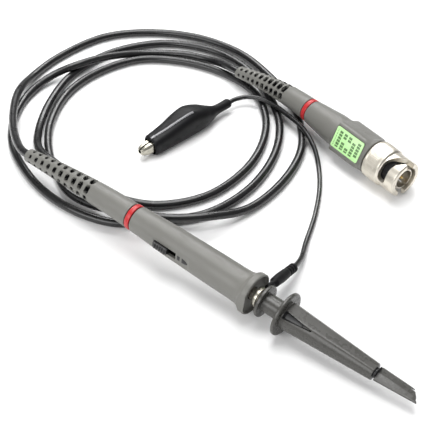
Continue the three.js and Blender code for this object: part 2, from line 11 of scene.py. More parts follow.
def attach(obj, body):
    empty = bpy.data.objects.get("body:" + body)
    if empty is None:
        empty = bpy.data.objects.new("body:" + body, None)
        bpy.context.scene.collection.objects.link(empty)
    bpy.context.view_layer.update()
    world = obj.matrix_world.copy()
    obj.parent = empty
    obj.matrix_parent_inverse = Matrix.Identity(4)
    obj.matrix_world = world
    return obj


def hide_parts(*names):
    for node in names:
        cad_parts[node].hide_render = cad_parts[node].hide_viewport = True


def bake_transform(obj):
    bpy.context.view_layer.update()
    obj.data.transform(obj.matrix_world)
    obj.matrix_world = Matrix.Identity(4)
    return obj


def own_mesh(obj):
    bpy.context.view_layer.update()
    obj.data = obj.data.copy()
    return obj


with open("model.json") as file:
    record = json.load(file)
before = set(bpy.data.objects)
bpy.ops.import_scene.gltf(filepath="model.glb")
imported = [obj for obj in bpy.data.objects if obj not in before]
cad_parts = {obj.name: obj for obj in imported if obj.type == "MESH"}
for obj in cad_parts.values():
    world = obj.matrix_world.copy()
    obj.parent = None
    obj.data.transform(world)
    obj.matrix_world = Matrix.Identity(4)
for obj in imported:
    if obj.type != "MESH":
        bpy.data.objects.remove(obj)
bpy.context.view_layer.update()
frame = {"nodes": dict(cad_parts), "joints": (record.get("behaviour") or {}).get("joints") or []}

MM = 0.001
GAP = 0.3
joints = {joint["name"]: joint for joint in frame["joints"]}


# ---- frames of the three heads ----

def frame_along(point, axis):
    """Frame at point with X along axis and Y level."""
    x = Vector(axis).normalized()
    y = Vector((0, 0, 1)).cross(x).normalized()
    turn = Matrix((x, y, x.cross(y))).transposed().to_4x4()
    return Matrix.Translation(point) @ turn


FLANGE_R = 7.4  # of the hook sleeve, which rests on the surface
FLANGE_S = 34
PROBE_SHIFT = 0.44  # puts the middle of the head's length over the origin
probe_axis = -Vector(joints["sleeve_slide"]["axis"])
level = math.hypot(probe_axis.x, probe_axis.y)
probe_height = FLANGE_R * level - FLANGE_S * probe_axis.z
PROBE = frame_along((PROBE_SHIFT * MM, 0, probe_height * MM), probe_axis)
BNC = frame_along(joints["nut_spin"]["pos_m"], joints["nut_spin"]["axis"])

CLIP_PIVOT = 24  # station of the jaw's pin, from the tail of the clip's boot
CLIP_YAW = math.radians(-98.6)
CLIP = (
    Matrix.Translation(joints["jaw_hinge"]["pos_m"])
    @ Matrix.Rotation(CLIP_YAW, 4, "Z")
    @ Matrix.Translation((-CLIP_PIVOT * MM, 0, 0))
)

# The strain reliefs sag towards their tails: start, tail, sideways move, drop.
PROBE_BEND = (-30, -81.4, 1.7, 5.4)
BNC_BEND = (-51.3, -88.3, -3.9, 2.4)


def bend_offset(s, bend):
    start, tail, side, drop = bend
    t = max(0, (start - s) / (start - tail))
    return Vector((0, side * t * t, -drop * t * t))


def bent(bend):
    return lambda p: p + bend_offset(p.x, bend)


# ---- camera ----

def make_camera():
    data = bpy.data.cameras.new("camera")
    data.sensor_width = 36
    data.lens = 83.72
    camera = bpy.data.objects.new("camera", data)
    bpy.context.scene.collection.objects.link(camera)
    camera.location = (0.14532, -0.17230, 0.23930)
    target = Vector((-0.015885, 0.027362, 0))
    camera.rotation_euler = (target - camera.location).to_track_quat("-Z", "Y").to_euler()
    bpy.context.scene.camera = camera


make_camera()


# ---- materials ----

class Finish:
    """A node material round one Principled shader, with object coordinates to draw on."""

    def __init__(self, name, **sockets):
        self.material = bpy.data.materials.new(name)
        self.material.use_nodes = True
        self.tree = self.material.node_tree
        self.shader = self.tree.nodes["Principled BSDF"]
        for socket, value in sockets.items():
            self.shader.inputs[socket.replace("_", " ")].default_value = value
        self.place = self.add("ShaderNodeTexCoord").outputs["Object"]

    def add(self, kind, inputs=(), **settings):
        node = self.tree.nodes.new(kind)
        for key, value in settings.items():
            setattr(node, key, value)
        for key, value in dict(inputs).items():
            if isinstance(value, bpy.types.NodeSocket):
                self.tree.links.new(value, node.inputs[key])
            else:
                node.inputs[key].default_value = value
        return node

    def noise(self, scale, stretch=(1, 1, 1), detail=3.0):
        """Noise from 0 to 1, scale cells a metre. Nearly all of it lies from 0.3 to 0.7."""
        mapping = self.add("ShaderNodeMapping", {"Vector": self.place, "Scale": stretch})
        inputs = {"Vector": mapping.outputs["Vector"], "Scale": scale, "Detail": detail}
        return self.add("ShaderNodeTexNoise", inputs).outputs["Fac"]

    def remap(self, value, low, high, start=0.3, end=0.7):
        """Takes value from start..end to low..high and stays within them."""
        inputs = {"Value": value, "From Min": start, "From Max": end, "To Min": low, "To Max": high}
        return self.add("ShaderNodeMapRange", inputs).outputs["Result"]

    def math(self, operation, first, second=0.0):
        node = self.add("ShaderNodeMath", {0: first, 1: second}, operation=operation)
        return node.outputs["Value"]

    def mix(self, share, first, second):
        """Colour mix. The node has an A and a B for each data type, of which one is enabled."""
        node = self.add("ShaderNodeMix", data_type="RGBA")
        for key, value in {"Factor": share, "A": first, "B": second}.items():
            socket = next(i for i in node.inputs if i.name == key and i.enabled)
            if isinstance(value, bpy.types.NodeSocket):
                self.tree.links.new(value, socket)
            else:
                socket.default_value = value
        return next(o for o in node.outputs if o.enabled)

    def link(self, socket, value):
        self.tree.links.new(value, self.shader.inputs[socket])

    def bump(self, height, distance):
        inputs = {"Height": height, "Distance": distance, "Strength": 1.0}
        self.link("Normal", self.add("ShaderNodeBump", inputs).outputs["Normal"])


def shade(colour, factor):
    return tuple(min(1, c * factor) for c in colour) + (1,)


def moulded(name, colour, roughness, spread=0.08, grain=0.00003, **sockets):
    """Injection-moulded or rubbery surface: spark-eroded grain, cloudy gloss, faint scuffs."""
    made = Finish(name, **sockets)
    clouds = made.noise(90, detail=4)
    made.link("Base Color", made.mix(clouds, shade(colour, 1 - spread), shade(colour, 1 + spread)))
    scuffs = made.remap(made.noise(380, (0.25, 1, 1), detail=6), 0, 0.14, 0.52, 0.7)
    gloss = made.remap(made.noise(700, detail=2), roughness - 0.05, roughness + 0.06)
    made.link("Roughness", made.math("ADD", gloss, scuffs))
    made.bump(made.noise(5200, detail=3), grain)
    return made.material


def plated(name, colour, roughness):
    """Plated metal: fine marks across the axis in its gloss, smudges and slight tarnish."""
    made = Finish(name, Metallic=1.0)
    tarnish = made.remap(made.noise(260, detail=5), 0, 1, 0.42, 0.68)
    made.link("Base Color", made.mix(tarnish, shade(colour, 1.04), shade(colour, 0.84)))
    marks = made.remap(made.noise(6000, (1, 0.06, 0.06), detail=2), 0, 0.08)
    gloss = made.remap(made.noise(500, detail=4), roughness - 0.05, roughness + 0.06)
    made.link("Roughness", made.math("ADD", gloss, marks))
    made.bump(made.noise(900, detail=3), 0.00001)
    return made.material


def cable_jacket():
    """Extruded PVC: glossy, with faint lengthwise ripple and handling dust."""
    made = Finish("cable_jacket", Coat_Weight=0.25, Coat_Roughness=0.12)
    dust = made.remap(made.noise(800, detail=5), 0, 1, 0.5, 0.75)
    made.link("Base Color", made.mix(dust, (0.003, 0.003, 0.0035, 1), (0.009, 0.009, 0.0095, 1)))
    made.link("Roughness", made.remap(made.noise(300, detail=3), 0.24, 0.38))
    made.bump(made.noise(1400, detail=2), 0.00003)
    return made.material


def board():
    """Green solder mask with copper tracks showing through and tinned pads."""
    made = Finish("board", Roughness=0.35)
    tracks = made.remap(made.noise(900, (1, 0.15, 1), detail=1), 0, 1, 0.53, 0.55)
    pads = made.remap(made.noise(1500, detail=0), 0, 1, 0.66, 0.68)
    green = made.mix(tracks, (0.015, 0.09, 0.03, 1), (0.03, 0.17, 0.06, 1))
    made.link("Base Color", made.mix(pads, green, (0.55, 0.53, 0.48, 1)))
    made.bump(tracks, 0.00003)
    return made.material


def ceramic():
    made = Finish("ceramic")
    specks = made.remap(made.noise(2600, detail=4), 0, 1, 0.4, 0.65)
    made.link("Base Color", made.mix(specks, (0.5, 0.29, 0.12, 1), (0.42, 0.23, 0.09, 1)))
    made.link("Roughness", made.remap(specks, 0.55, 0.75, 0, 1))
    made.bump(specks, 0.00002)
    return made.material


def ptfe():
    made = Finish("ptfe", Subsurface_Weight=0.2, Subsurface_Radius=(0.001, 0.001, 0.001))
    haze = made.noise(500, detail=4)
    made.link("Base Color", made.mix(haze, (0.82, 0.8, 0.75, 1), (0.7, 0.68, 0.62, 1)))
    made.link("Roughness", made.remap(haze, 0.4, 0.55))
    made.bump(made.noise(4000), 0.00001)
    return made.material


class LABEL:
    s = -24.6  # station of its middle
    z = 0.3
    long = 13.6
    wide = 8.2
    face = 6.175  # distance of its outer face from the plug's axis


LINE_PITCH = 2.3
DASH_PITCH = 1.15
LINE_GAP = 0.17  # half the bare share between two lines
DASH_GAP = 0.1
BARE_CELLS = 0.12  # share of the dashes that are left out
LABEL_MARGIN = (0.9, 0.8)  # bare border at the ends and at the sides


def label_paper():
    """Pale green film with lines of dark dashes that stand for print, and no lettering."""
    made = Finish("label_paper", Coat_Weight=0.3, Coat_Roughness=0.2)
    split = made.add("ShaderNodeSeparateXYZ", {"Vector": made.place})
    cells = []
    printed = []
    for axis, pitch, gap, middle, size, margin in (
        ("X", LINE_PITCH, LINE_GAP, LABEL.s, LABEL.long, LABEL_MARGIN[0]),
        ("Z", DASH_PITCH, DASH_GAP, LABEL.z, LABEL.wide, LABEL_MARGIN[1]),
    ):
        place = split.outputs[axis]
        steps = made.math("MULTIPLY", place, 1 / (MM * pitch))
        cells.append(made.math("FLOOR", made.math("ADD", steps, 100.0)))
        printed.append(made.math("GREATER_THAN", made.math("PINGPONG", steps, 0.5), gap))
        off_middle = made.math("ABSOLUTE", made.math("SUBTRACT", place, middle * MM))
        printed.append(made.math("LESS_THAN", off_middle, (size / 2 - margin) * MM))
    cell = made.add("ShaderNodeCombineXYZ", {"X": cells[0], "Y": cells[1]})
    chance = made.add("ShaderNodeTexWhiteNoise", {"Vector": cell.outputs["Vector"]},
                      noise_dimensions="3D").outputs["Value"]
    inked = made.math("GREATER_THAN", chance, BARE_CELLS)
    for share in printed:
        inked = made.math("MULTIPLY", inked, share)
    worn = made.remap(made.noise(2500, detail=3), 0.75, 1.0)
    paper = made.mix(made.noise(200, detail=3), (0.5, 0.86, 0.36, 1), (0.58, 0.94, 0.44, 1))
    ink = made.mix(made.noise(1200), (0.03, 0.1, 0.025, 1), (0.06, 0.15, 0.04, 1))
    made.link("Base Color", made.mix(made.math("MULTIPLY", inked, worn), paper, ink))
    made.link("Roughness", made.remap(made.noise(900), 0.3, 0.45))
    made.bump(inked, 0.00001)
    return made.material


GREY = moulded("grey_plastic", (0.16, 0.158, 0.144), 0.42)
CAP_GREY = moulded("cap_plastic", (0.055, 0.0535, 0.048), 0.27)
RED = moulded("red_plastic", (0.48, 0.017, 0.02), 0.35, spread=0.05, grain=0.00001)
BLACK = moulded("black_plastic", (0.008, 0.008, 0.009), 0.36)
RUBBER = moulded("black_rubber", (0.006, 0.006, 0.007), 0.45, grain=0.00001,
                 Specular_IOR_Level=0.2)
# Glossy rubber for the clip boot's parting ridge: the gloss is real, the light grey colour, far
# lighter than the black rubber, is a painted highlight.
RIDGE_GLOSS_AND_PAINTED_HIGHLIGHT = moulded("ridge_gloss_painted_highlight", (0.2, 0.2, 0.21), 0.14, grain=0.000002,
                       Specular_IOR_Level=1.0)
JACKET = cable_jacket()
NICKEL = plated("nickel", (0.72, 0.68, 0.6), 0.27)
SATIN_NICKEL = plated("satin_nickel", (0.71, 0.67, 0.585), 0.36)
# A darker copy of the nickel with the same gloss: painted shade for the collar deep in the nose's
# gap and the jaws inside the boot.
NICKEL_PAINTED_SHADE = plated("nickel_painted_shade", (0.5, 0.48, 0.41), 0.27)
GOLD = plated("gold", (0.83, 0.6, 0.25), 0.25)
STEEL = plated("steel", (0.62, 0.62, 0.63), 0.25)
PTFE = ptfe()
BOARD = board()
CERAMIC = ceramic()
PAPER = label_paper()


# ---- mesh helpers ----

def fillet(outline, radius, steps=3):
    """Rounds the corners of a closed outline of (station, radius) points."""
    made = []
    for i, here in enumerate(outline):
        point = Vector(here)
        if point.y == 0:
            made.append(point)
            continue
        back = Vector(outline[i - 1]) - point
        on = Vector(outline[(i + 1) % len(outline)]) - point
        reach = min(radius, 0.45 * back.length, 0.45 * on.length)
        first = point + back.normalized() * reach
        last = point + on.normalized() * reach
        for k in range(steps + 1):
            t = k / steps
            made.append((1 - t) ** 2 * first + 2 * t * (1 - t) * point + t * t * last)
    return made


def dense(outline, step):
    """The closed outline with no edge longer than step."""
    made = []
    for i, here in enumerate(outline):
        start = Vector(here)
        end = Vector(outline[(i + 1) % len(outline)])
        count = max(1, math.ceil((end - start).length / step))
        made.extend(start.lerp(end, k / count) for k in range(count))
    return made


def skin(rings, closed=True):
    """Vertices and faces joining rings of equal count, the last to the first if closed."""
    count = len(rings[0])
    vertices = [p for ring in rings for p in ring]
    faces = []
    for i in range(len(rings) if closed else len(rings) - 1):
        after = (i + 1) % len(rings)
        for j in range(count):
            k = (j + 1) % count
            faces.append((i * count + j, i * count + k, after * count + k, after * count + j))
    if not closed:
        faces.append(tuple(range(count)))
        faces.append(tuple(range((len(rings) - 1) * count, len(rings) * count)))
    return vertices, faces


def around(s, r, angle):
    """Point at station s, radius r and angle, 0 on the -Y side and a quarter turn on top."""
    return Vector((s, -r * math.cos(angle), r * math.sin(angle)))


def turned(outline, sides, shape=None, move=None):
    """A solid of revolution from a closed outline of (station, radius) points.

    shape(s, r, angle) may change the radius, move(point) the place of a point."""
    rings = []
    for s, r in outline:
        ring = []
        for k in range(sides):
            angle = 2 * math.pi * k / sides
            point = around(s, shape(s, r, angle) if shape and r > 0 else r, angle)
            ring.append(move(point) if move else point)
        rings.append(ring)
    return skin(rings)


def block(x, y, z, centre, roll=0.0):
    """A box about centre, turned by roll about X, as a skin."""
    vertices = [
        Matrix.Rotation(roll, 3, "X") @ Vector((cx, cy, cz))
        for cx in (centre[0] - x / 2, centre[0] + x / 2)
        for cy in (centre[1] - y / 2, centre[1] + y / 2)
        for cz in (centre[2] - z / 2, centre[2] + z / 2)
    ]
    faces = [(0, 1, 3, 2), (4, 6, 7, 5), (0, 4, 5, 1), (2, 3, 7, 6), (0, 2, 6, 4), (1, 5, 7, 3)]
    return vertices, faces


def moved(made, matrix):
    vertices, faces = made
    return [matrix @ v for v in vertices], faces


def together(*skins):
    """Several skins as one."""
    vertices, faces = [], []
    for more, sides in skins:
        faces += [tuple(i + len(vertices) for i in face) for face in sides]
        vertices += more
    return vertices, faces


SHARP = 32  # degrees from which the edge between two faces is shaded sharp


def to_object(name, made, where, sharp=SHARP):
    """A piece from a skin in millimetres, in the frame where."""
    vertices, faces = made
    mesh = bpy.data.meshes.new(name)
    mesh.from_pydata([v * MM for v in vertices], [], faces)
    bm = bmesh.new()
    bm.from_mesh(mesh)
    bmesh.ops.remove_doubles(bm, verts=bm.verts, dist=1e-8)
    bmesh.ops.recalc_face_normals(bm, faces=bm.faces)
    bm.to_mesh(mesh)
    bm.free()
    smooth(mesh, sharp)
    obj = bpy.data.objects.new(name, mesh)
    bpy.context.scene.collection.objects.link(obj)
    obj.matrix_world = where
    return obj


def smooth(mesh, sharp):
    mesh.polygons.foreach_set("use_smooth", [True] * len(mesh.polygons))
    mesh.set_sharp_from_angle(angle=math.radians(sharp))


def keep_modifiers(obj, sharp):
    """Applies the piece's modifiers to its mesh."""
    graph = bpy.context.evaluated_depsgraph_get()
    mesh = bpy.data.meshes.new_from_object(obj.evaluated_get(graph))
    obj.modifiers.clear()
    obj.data = mesh
    smooth(mesh, sharp)


def carve(obj, *cutters):
    """Cuts each cutter, a skin in the piece's own frame, out of the piece."""
    tools = [to_object("cutter", cutter, obj.matrix_world) for cutter in cutters]
    for tool in tools:
        cut = obj.modifiers.new("cut", "BOOLEAN")
        cut.operation = "DIFFERENCE"
        cut.solver = "EXACT"
        cut.object = tool
    keep_modifiers(obj, SHARP)
    for tool in tools:
        bpy.data.objects.remove(tool)


def round_edges(obj, width, least=40):
    """Rounds the edges at which the faces turn by at least that many degrees."""
    bevel = obj.modifiers.new("edges", "BEVEL")
    bevel.width = width * MM
    bevel.segments = 2
    bevel.limit_method = "ANGLE"
    bevel.angle_limit = math.radians(least)
    keep_modifiers(obj, 60)


def dress(obj, body, finish, slot, *nodes):
    """Gives the piece its material and body, and hides the CAD nodes it stands for. slot is not
    used.
    """
    obj.data.materials.clear()
    obj.data.materials.append(finish)
    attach(obj, body)
    if nodes:
        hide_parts(*nodes)
    return obj


def between(first, last, share):
    return first + (last - first) * share


def blend_down(value, start, end):
    """1 at start and beyond, 0 at end and beyond, smooth between them."""
    t = min(1, max(0, (value - end) / (start - end)))
    return t * t * (3 - 2 * t)


def soft_min(first, second, width):
    """The smaller of two values, rounded off over about width where they meet."""
    low = min(first, second)
    both = math.exp((low - first) / width) + math.exp((low - second) / width)
    return low - width * math.log(both)


def off_angle(angle, middle):
    """How far angle is round from middle, from minus half a turn to half a turn."""
    return (angle - middle + math.pi) % (2 * math.pi) - math.pi


# ---- cords ----

CABLE_R = 1.55
LEAD_R = 0.9

LYING = 1.75  # height of the cable's centreline where it lies on the surface
# The cable between the strain reliefs: about three and a half loose turns. A point without a
# height lies on the surface.
CABLE_ROUTE = [
    (-87.2, 3.2, 8.6), (-97, 8.9, 6.9), (-108, 18, 5.5), (-118.6, 30.4, 4.5), (-124.8, 44, 2.1),
    (-126.6, 62), (-122, 84), (-108.6, 99), (-90.5, 108.3), (-69.8, 110.3), (-50, 104.8),
    (-33, 96.3), (-20.1, 85.2), (-11.5, 72.6), (-6.7, 54.1), (-7.5, 35.4, 2.1),
    (-13.3, 22.3, 4.7), (-24.7, 11.2, 5.2), (-38, 5.2, 5), (-50.5, 2.5, 2.4), (-63, 2.4),
    (-74, 7.2), (-86, 15), (-97.2, 27), (-105.7, 44.8), (-106.2, 62.5), (-99.5, 79.8),
    (-84.5, 90.3), (-66.7, 94.5), (-48.4, 92.1), (-35, 82.2), (-26, 68.5), (-21.3, 51.4),
    (-23.4, 31.4), (-34.6, 16.5), (-50, 10.4), (-63, 8.2, 2.6), (-75, 8.2, 5.1), (-86, 10.7, 4.2),
    (-96.6, 19.9, 1.9), (-107.4, 37.2), (-113.4, 56), (-111.4, 77.5), (-99.5, 95.4),
    (-80.6, 104.2), (-61, 103.2), (-42.5, 94.2), (-28.4, 82.4), (-18.1, 65.2), (-13.8, 43.8),
    (-17.5, 24.6), (-28.5, 10.8), (-39, 1.2), (-52, -3), (-68, -3.1), (-84, 1), (-99, 8.6),
    (-110.6, 20.6), (-117.1, 33.8), (-118, 47.4, 2.8), (-112.7, 58.6, 5.1), (-107.4, 73.2, 3.8),
    (-99.1, 86.1, 1.8), (-86.5, 95), (-78.5, 97.5, 1.9), (-71.8, 97.6, 3.1), (-66, 96, 4.9),
    (-61.2, 94.4, 6.2),
]

# The ground lead, from its boot to the tail of the clip.
LEAD_ROUTE = [
    (21.2, 27, 2.5), (17.7, 34.6, 1.3), (12.2, 48, 0.95), (5.2, 61.1, 0.95), (-2.1, 71, 1.2),
    (-8.8, 77.5, 2.7), (-17, 82, 4.45), (-26.1, 85.1, 4.5), (-34.7, 87, 4.5), (-41.8, 86.9, 4.5),
    (-46.6, 84.7, 4.1), (-49.1, 81.2, 3.8),
]

GROUND_BOOT_START = PROBE @ Vector((23.35 * MM, 7 * MM, 0))
GROUND_BOOT_END = Vector((22.9, 20.2, 4.6)) * MM
GROUND_BOOT = frame_along(GROUND_BOOT_START, GROUND_BOOT_END - GROUND_BOOT_START)


def bore_line(head, stations, bend):
    """Points on the bent centre line of a strain relief, in the scene's frame, in metres."""
    return [head @ ((Vector((s, 0, 0)) + bend_offset(s, bend)) * MM) for s in stations]


def hermite(here, leave, there, reach, t):
    """The cubic from here to there with the slopes leave and reach, at share t."""
    return (
        here * (2 * t**3 - 3 * t**2 + 1) + leave * (t**3 - 2 * t**2 + t)
        + there * (3 * t**2 - 2 * t**3) + reach * (t**3 - t**2)
    )


def smooth_line(points, step):
    """A centripetal Catmull-Rom curve through points, with samples about step apart."""
    ends = [2 * points[0] - points[1], *points, 2 * points[-1] - points[-2]]
    line = []
    for before, here, there, after in zip(ends, ends[1:], ends[2:], ends[3:]):
        a = (here - before).length ** 0.5
        b = (there - here).length ** 0.5
        c = (after - there).length ** 0.5
        leave = ((here - before) / a - (there - before) / (a + b) + (there - here) / b) * b
        reach = ((there - here) / b - (after - here) / (b + c) + (after - there) / c) * b
        count = max(2, round((there - here).length / step))
        line += [hermite(here, leave, there, reach, k / count) for k in range(count)]
    return [*line, points[-1]]


def hose(line, r, sides=16):
    """A round tube along line, closed at both ends; its section turns as little as it can."""
    rings = []
    side = Vector((0, 0, 1))
    for i, point in enumerate(line):
        along = (line[min(i + 1, len(line) - 1)] - line[max(i - 1, 0)]).normalized()
        side = (side - along * side.dot(along)).normalized()
        other = along.cross(side)
        angles = [2 * math.pi * k / sides for k in range(sides)]
        rings.append([point + r * (side * math.cos(a) + other * math.sin(a)) for a in angles])
    return skin(rings, closed=False)


def make_cord(name, points, r, node):
    """The cord as a tube, and its centreline, from points in metres."""
    line = smooth_line(points, 1.3 * MM)
    obj = to_object(name, hose([p / MM for p in line], r), Matrix.Identity(4), 60)
    return dress(obj, "probe", JACKET, "cable_jacket", node), line


def make_cable():
    head = bore_line(PROBE, [-22, -36, -48, -60, -72, PROBE_BEND[1]], PROBE_BEND)
    plug = bore_line(BNC, [BNC_BEND[1], -79, -68, -56, -43], BNC_BEND)
    route = [Vector((*p, LYING)[:3]) * MM for p in CABLE_ROUTE]
    return make_cord("cable", [*head, *route, *plug], CABLE_R, "main_cable")


def make_lead():
    in_boot = [GROUND_BOOT @ Vector((x * MM, 0, 0)) for x in (6, 10, 13.6)]
    in_clip = [CLIP @ Vector((x * MM, 0, 0)) for x in (-1, 3, 7.4)]
    route = [Vector(p) * MM for p in LEAD_ROUTE]
    return make_cord("lead", [*in_boot, *route, *in_clip], LEAD_R, "ground_lead")


cable, cable_line = make_cable()
lead, lead_line = make_lead()


# ---- strain reliefs and marker rings ----

RING_R = 4.6
RING_WIDTH = 1.8
SPIGOT_R = 3.2  # of the housing's end inside ring and strain relief
SOCKET = 2.5  # how far the strain relief goes over it
RELIEF_END_R = 2.5
SHOULDER = 16  # length of the wide front part, which has no slots
SLOT_POWER = 2.6  # squareness of a slot's outline
SLOT_REACH = 1.2  # in half sizes: no part of a slot is farther out
SLOT_FLOOR = 0.12  # of wall left over the cable


def slot_depth(s, r, angle, slots, rows):
    """0 to 1: how deep in a flex slot the place is.

    slots holds (station, half length, half width), rows the angles of the rows."""
    deepest = 0
    for station, half_long, half_wide in slots:
        u = abs(s - station) / half_long
        if u > SLOT_REACH:
            continue
        for row in rows:
            v = abs(off_angle(angle, row)) * r / half_wide
            if v < SLOT_REACH:
                norm = (u**SLOT_POWER + v**SLOT_POWER) ** (1 / SLOT_POWER)
                deepest = max(deepest, blend_down(norm, 0.84, 1.04))
    return deepest


def strain_relief(name, head, front, bend, mid_r, slots, first_row, node):
    """Tapered flexible sleeve with six rows of slots. Black on their floors stands for the dark
    cable seen through real slots; black on their lower walls is painted shade.
    """
    tail = bend[1]
    shoulder = front - SHOULDER
    bore = CABLE_R + GAP
    slope = [(front, SPIGOT_R + GAP), (front, RING_R - 0.1), (shoulder, mid_r),
             (tail, RELIEF_END_R), (tail, bore), (front - SOCKET, bore),
             (front - SOCKET, SPIGOT_R + GAP)]
    outline = dense(fillet(slope, 0.35), 0.2)
    rows = [math.radians(first_row + 60 * k) for k in range(6)]

    def shape(s, r, angle):
        if r < bore + 0.3 or s > front - 3:
            return r
        floor = bore + SLOT_FLOOR
        return r - slot_depth(s, r, angle, slots, rows) * (r - floor)

    obj = to_object(name, turned(outline, 144, shape, bent(bend)), head, 50)
    dress(obj, "probe", GREY, "grey_plastic", node)
    # Black on the slots' floors stands for the cable seen through the real slots; black on their
    # lower walls is painted shade.
    obj.data.materials.append(RUBBER)
    for face in obj.data.polygons:
        spot = face.center / MM - bend_offset(face.center.x / MM, bend)
        r = math.hypot(spot.y, spot.z)
        share = max(0, shoulder - spot.x) / (shoulder - tail)
        outside = between(mid_r, RELIEF_END_R, share)
        cable_and_painted_shade = bore + 0.05 < r < bore + 0.6 * (outside - bore)
        face.material_index = int(cable_and_painted_shade and tail + 1 < spot.x < front - 6)
    return obj


def growing_slots(first, last, count, small, large):
    """Slots from the tail's first station to the last; half sizes grow from small to large."""
    ends = list(zip((first, *small), (last, *large)))
    return [tuple(between(a, b, i / (count - 1)) for a, b in ends) for i in range(count)]


def marker_ring(name, head, start, node):
    outline = [(start, SPIGOT_R + GAP), (start, RING_R), (start + RING_WIDTH, RING_R),
               (start + RING_WIDTH, SPIGOT_R + GAP)]
    obj = to_object(name, turned(fillet(outline, 0.3, 4), 96), head)
    return dress(obj, "probe", RED, "red_plastic", node)


# ---- probe head ----

HANDLE_REAR = -27.4
HANDLE_FRONT = 22.2
HANDLE_FLANGE_R = 7.2
# The flat side panel: its distance from the axis, its direction and where it fades out.
PANEL = {"face": 4.75, "angle": math.radians(6), "front": -0.5}
SWITCH = {"s": -13, "long": 5.8, "wide": 2.0}
SWITCH_SLOT = {"s": -11.5, "long": 9.4, "wide": 2.6}
ON_PANEL = math.pi / 2 - PANEL["angle"]  # roll that brings the top side round to the panel


def handle_shape(s, r, angle):
    """Flattens the side panel and fades it out towards the front."""
    if r < 4.2 or s < HANDLE_REAR - 0.2:
        return r
    facing = math.cos(angle - PANEL["angle"])
    if facing < 0.3:
        return r
    lift = 1.6 * blend_down(s, PANEL["front"] + 1.4, PANEL["front"] - 1.6)
    return soft_min(r, (PANEL["face"] + lift) / facing, 0.05)


def make_handle():
    bore = 3.9
    outline = [
        (-31.6, CABLE_R + GAP), (-31.6, SPIGOT_R), (HANDLE_REAR, SPIGOT_R), (HANDLE_REAR, RING_R),
        (-12, 5.3), (8, 5.6), (14, 5.6), (17.4, 5.7), (18.9, 6.1), (19.7, 6.8),
        (20.2, HANDLE_FLANGE_R), (21.9, HANDLE_FLANGE_R), (HANDLE_FRONT, 6.9), (HANDLE_FRONT, 6.6),
        (21.0, 6.3), (21.0, 2.2), (19.6, 2.2),
        (19.6, bore), (-24.4, bore), (-24.4, CABLE_R + GAP),
    ]
    skinned = turned(dense(fillet(outline, 0.45, 4), 0.5), 160, handle_shape)
    obj = to_object("handle_shell", skinned, PROBE)
    slot = block(SWITCH_SLOT["long"], SWITCH_SLOT["wide"], 4,
                 (SWITCH_SLOT["s"], 0, PANEL["face"] - 1), ON_PANEL)
    carve(obj, slot)
    return dress(obj, "probe", GREY, "grey_plastic", "handle")


def make_switch_button():
    """Ribbed cap and stem in one profile, with the foot plate that runs inside the slot."""
    face = PANEL["face"]
    half = SWITCH["long"] / 2
    top = face + 1.3
    stem = face - 1.9
    ribs = 5
    profile = [(-half, stem), (-half, top - 0.35)]
    for k in range(ribs):
        middle = -half + 0.9 + k * (2 * half - 1.8) / (ribs - 1)
        profile += [(middle - 0.42, top - 0.4), (middle - 0.2, top), (middle + 0.2, top),
                    (middle + 0.42, top - 0.4)]
    profile += [(half, top - 0.35), (half, stem)]
    turn = Matrix.Rotation(ON_PANEL, 3, "X")
    wide = SWITCH["wide"] / 2
    sides = [[turn @ Vector((SWITCH["s"] + x, y, z)) for x, z in profile] for y in (-wide, wide)]
    foot = block(SWITCH["long"] + 1.6, 3.4, 0.6, (SWITCH["s"], 0, face - 2.25), ON_PANEL)
    obj = to_object("switch_button", together(skin(sides, closed=False), foot), PROBE)
    round_edges(obj, 0.08)
    return dress(obj, "switch", BLACK, "black_plastic", "switch_knob")


def make_switch_marks():
    """A printed bar and a wedge in front of the slot, that show the way the knob goes."""
    face = PANEL["face"]
    bar = block(1.1, 1.7, 0.06, (-5.6, 0, face + 0.02), ON_PANEL)
    turn = Matrix.Rotation(ON_PANEL, 3, "X")
    corners = [(-4.2, 1.0), (-4.2, -1.0), (-2.6, -0.8), (-1.3, -0.3), (-2.6, 0.5)]
    wedge = [[turn @ Vector((s, y, face + z)) for s, y in corners] for z in (-0.01, 0.05)]
    obj = to_object("switch_marks", together(bar, skin(wedge, closed=False)), PROBE)
    round_edges(obj, 0.02)
    return dress(obj, "probe", BLACK, "black_plastic")


def make_hook_base():
    outline = [
        (25.2, 2.2), (25.2, 5.2), (25.5, 5.5), (26.4, 5.5), (26.4, 3.2), (37, 3.2), (37, 2.6),
        (44, 2.6), (44, 1.3), (42.8, 1.3), (42.8, 2.2),
    ]
    obj = to_object("hook_adapter", turned(dense(fillet(outline, 0.25), 1.0), 96), PROBE)
    return dress(obj, "probe", CAP_GREY, "cap_plastic", "hook_base")


CONE = {"start": 34.4, "start_r": 4.6, "end": 66.5, "end_r": 2.8}
FLAT = {"start": 34.7, "height": 4.02, "fall": math.tan(math.radians(2.9))}
# The thin blade: half heights, half widths towards -Y and +Y, and how far its end slants.
BLADE = {"start": 67.4, "end": 81.4, "height": 1.75, "tip_height": 0.95, "roof": math.radians(9),
         "half": 2.75, "near_tip": 1.55, "far_tip": 2.3, "slant": 0.72}
WINDOW = {"start": 34.9, "end": 44.5, "half": 1.25, "angle": math.radians(50), "depth": 1.0}
SEAM = {"start": 35, "end": 66.3, "angle": math.radians(-9), "height": 0.1, "half": 0.16}


